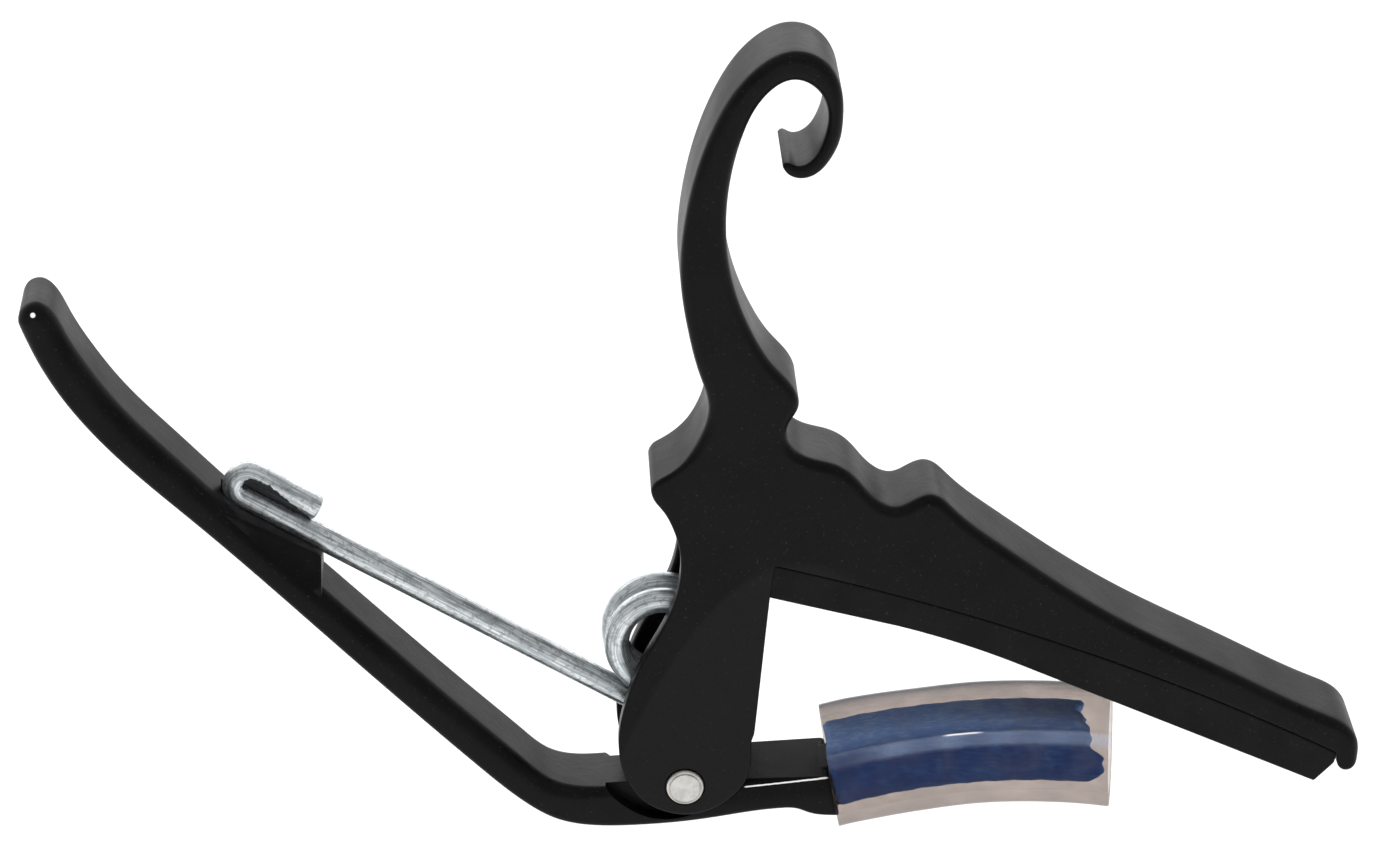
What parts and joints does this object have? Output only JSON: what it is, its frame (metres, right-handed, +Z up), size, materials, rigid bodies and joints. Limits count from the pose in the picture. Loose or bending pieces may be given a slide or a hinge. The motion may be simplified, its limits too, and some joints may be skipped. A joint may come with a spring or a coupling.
{
  "type": "trigger guitar capo",
  "caption": "One-hand trigger capo: hook-handled clamp with a string pad, sprung lever with a clear-sleeved neck rest, on one pivot pin.",
  "frame": {"origin": "middle of the string pad's flat underside, the face that presses on the strings, halfway across its width", "axes": "+Z up as the capo is pictured, towards the hook handle; +X from the pivot pin along the string bar to its lip; +Y through the casting's thickness, along the pin, away from the viewer"},
  "size_m": [0.1257, 0.0118, 0.0799],
  "materials": {
    "clamp_paint": "satin black powder coat on cast aluminium",
    "lever_paint": "satin black powder coat on cast aluminium",
    "pad_rubber": "matte black rubber",
    "pin_steel": "plain steel, face turned flat with a bright rim",
    "spring_steel": "zinc-plated spring wire",
    "liner_blue": "soft blue liner, mottled",
    "sleeve_clear": "clear flexible vinyl, slightly warm"
  },
  "bodies": {
    "clamp": {"clamp_body": "clamp_paint", "string_pad": "pad_rubber", "pivot_pin": "pin_steel", "spring": "spring_steel"},
    "lever": {"lever": "lever_paint", "neck_liner": "liner_blue", "neck_sleeve": "sleeve_clear"}
  },
  "joints": [
    {"name": "lever_open", "type": "hinge", "parent": "clamp", "child": "lever", "pos_m": [-0.0456, 0, -0.00592], "axis": [0, 1, 0], "range_deg": [0, 35], "stiffness_Nm_per_rad": 1, "springref_deg": -45.84, "deforming": ["spring"]}
  ]
}
